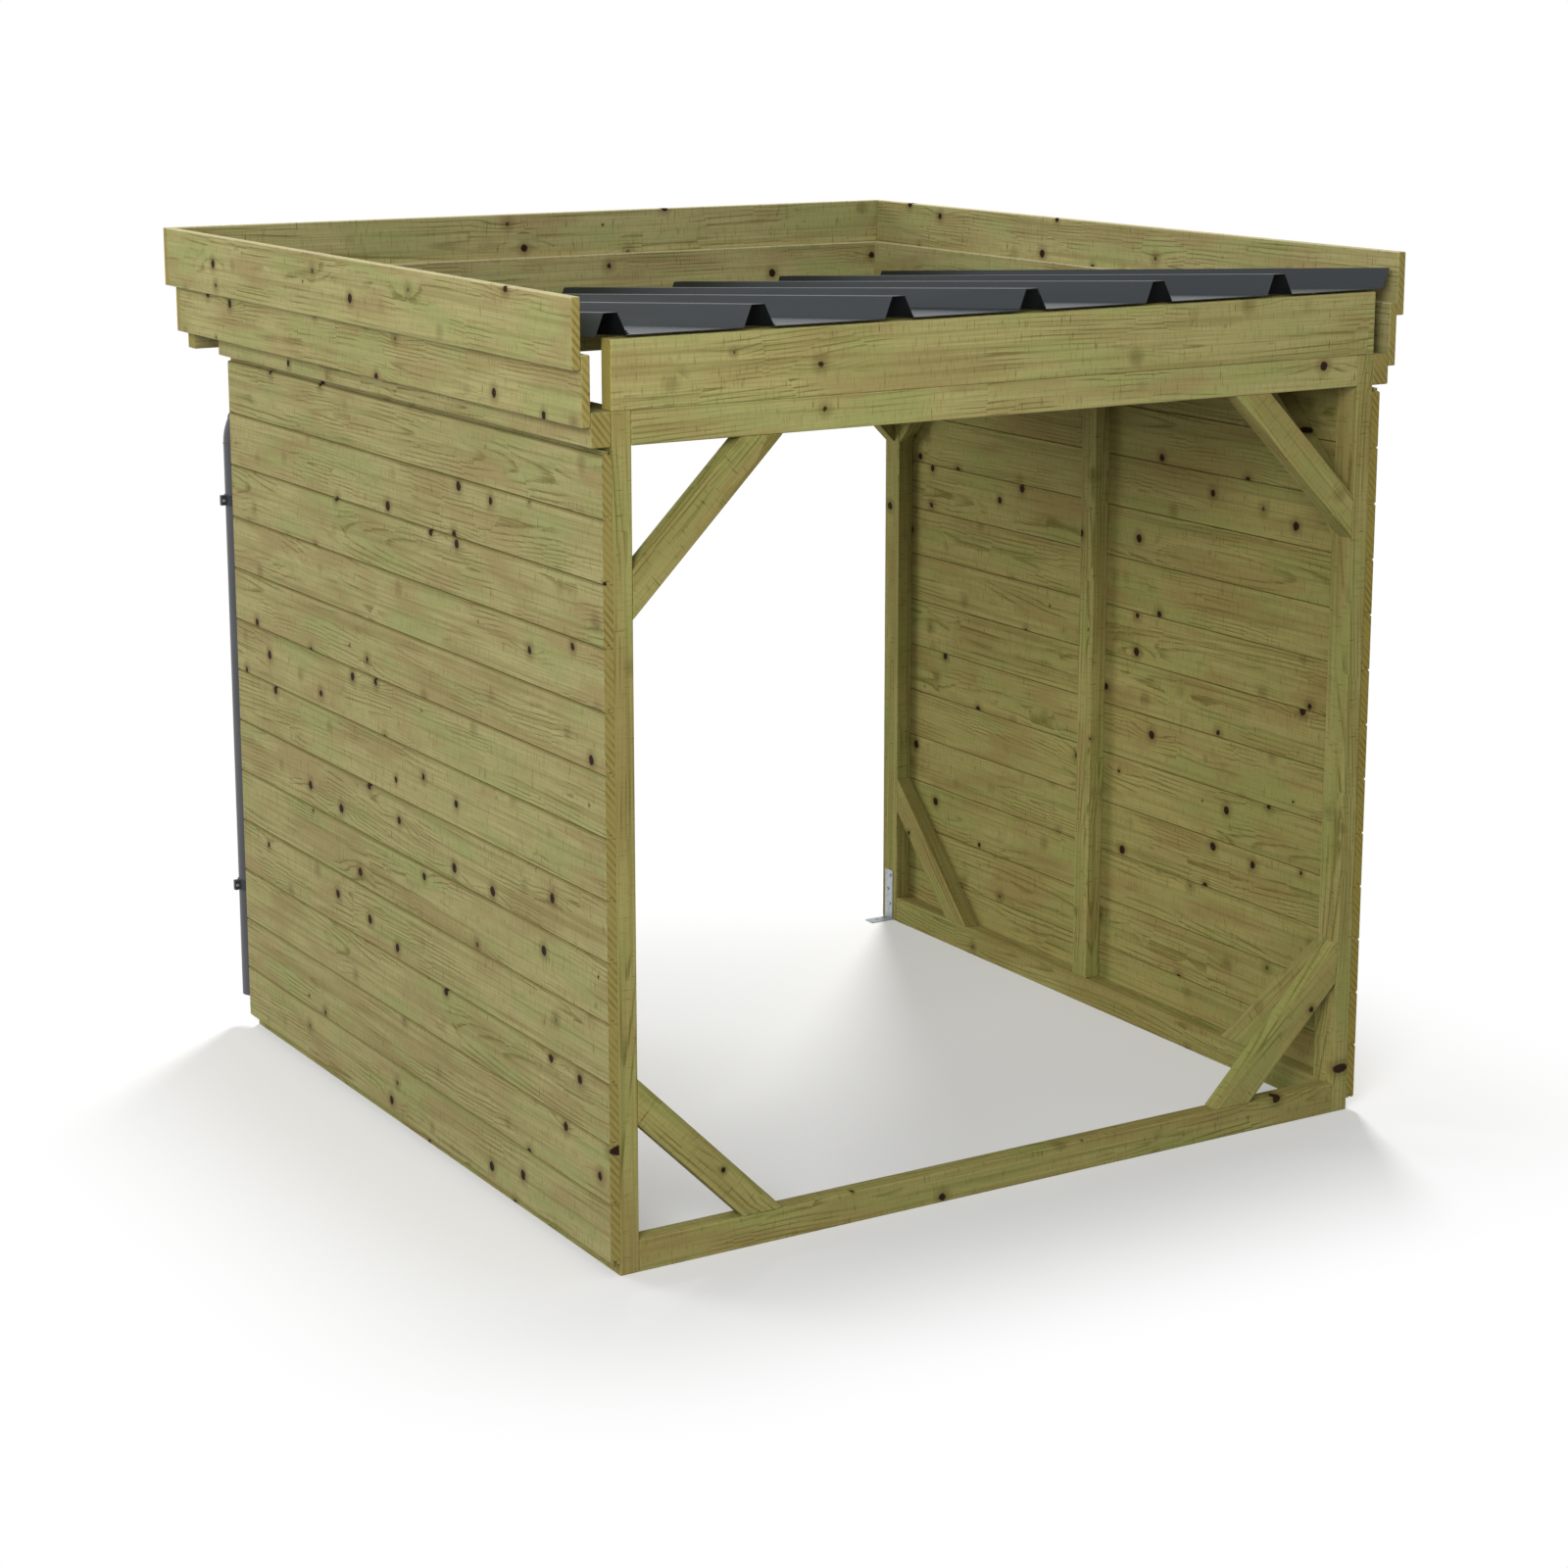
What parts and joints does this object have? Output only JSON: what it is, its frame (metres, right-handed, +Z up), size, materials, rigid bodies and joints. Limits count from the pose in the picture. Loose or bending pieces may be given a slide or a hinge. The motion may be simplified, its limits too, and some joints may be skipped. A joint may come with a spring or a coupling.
{
  "type": "log store",
  "caption": "Open-fronted timber log store: two boarded side walls on a braced post frame, a parapet of fascia boards and a ribbed steel roof falling to a hidden rear gutter with a downpipe.",
  "frame": {"origin": "middle of the overall footprint at floor level", "axes": "+X along the open front towards its right end, +Y from the tall open front to the low gutter side, +Z up"},
  "size_m": [2.13, 2.193, 2.026],
  "materials": {
    "frame_timber": "pressure-treated softwood, planed, olive green-brown, unpainted",
    "cladding": "pressure-treated tongued and grooved softwood boards with dark knots",
    "fascia": "pressure-treated planed softwood boards",
    "roof_steel": "coated trapezoidal sheet steel, anthracite grey, satin",
    "drain_plastic": "dark grey rainwater plastic, satin",
    "clamp_plastic": "near-black plastic",
    "zinc_steel": "galvanised sheet steel, dull"
  },
  "bodies": {
    "root": {"front_sole_plate": "frame_timber", "left_sole_plate": "frame_timber", "right_sole_plate": "frame_timber", "front_left_post": "frame_timber", "front_right_post": "frame_timber", "back_left_post": "frame_timber", "back_right_post": "frame_timber", "side_studs": "frame_timber", "side_top_plates": "frame_timber", "front_lintel": "frame_timber", "back_lintel": "frame_timber", "front_top_left_brace": "frame_timber", "front_top_right_brace": "frame_timber", "front_bottom_left_brace": "frame_timber", "front_bottom_right_brace": "frame_timber", "back_top_left_brace": "frame_timber", "back_top_right_brace": "frame_timber", "left_wall_front_top_brace": "frame_timber", "left_wall_back_top_brace": "frame_timber", "left_wall_front_bottom_brace": "frame_timber", "left_wall_back_bottom_brace": "frame_timber", "right_wall_front_top_brace": "frame_timber", "right_wall_back_top_brace": "frame_timber", "right_wall_front_bottom_brace": "frame_timber", "right_wall_back_bottom_brace": "frame_timber", "left_wall_boards": "cladding", "right_wall_boards": "cladding", "left_rail": "frame_timber", "right_rail": "frame_timber", "back_rail": "frame_timber", "left_lower_fascia": "fascia", "left_upper_fascia": "fascia", "right_lower_fascia": "fascia", "right_upper_fascia": "fascia", "back_lower_fascia": "fascia", "back_upper_fascia": "fascia", "front_roof_beam": "frame_timber", "middle_purlin": "frame_timber", "left_roof_sheet": "roof_steel", "right_roof_sheet": "roof_steel", "gutter": "drain_plastic", "downpipe": "drain_plastic", "downpipe_bends": "drain_plastic", "downpipe_clamps": "clamp_plastic", "foot_angles": "zinc_steel"}
  },
  "joints": []
}
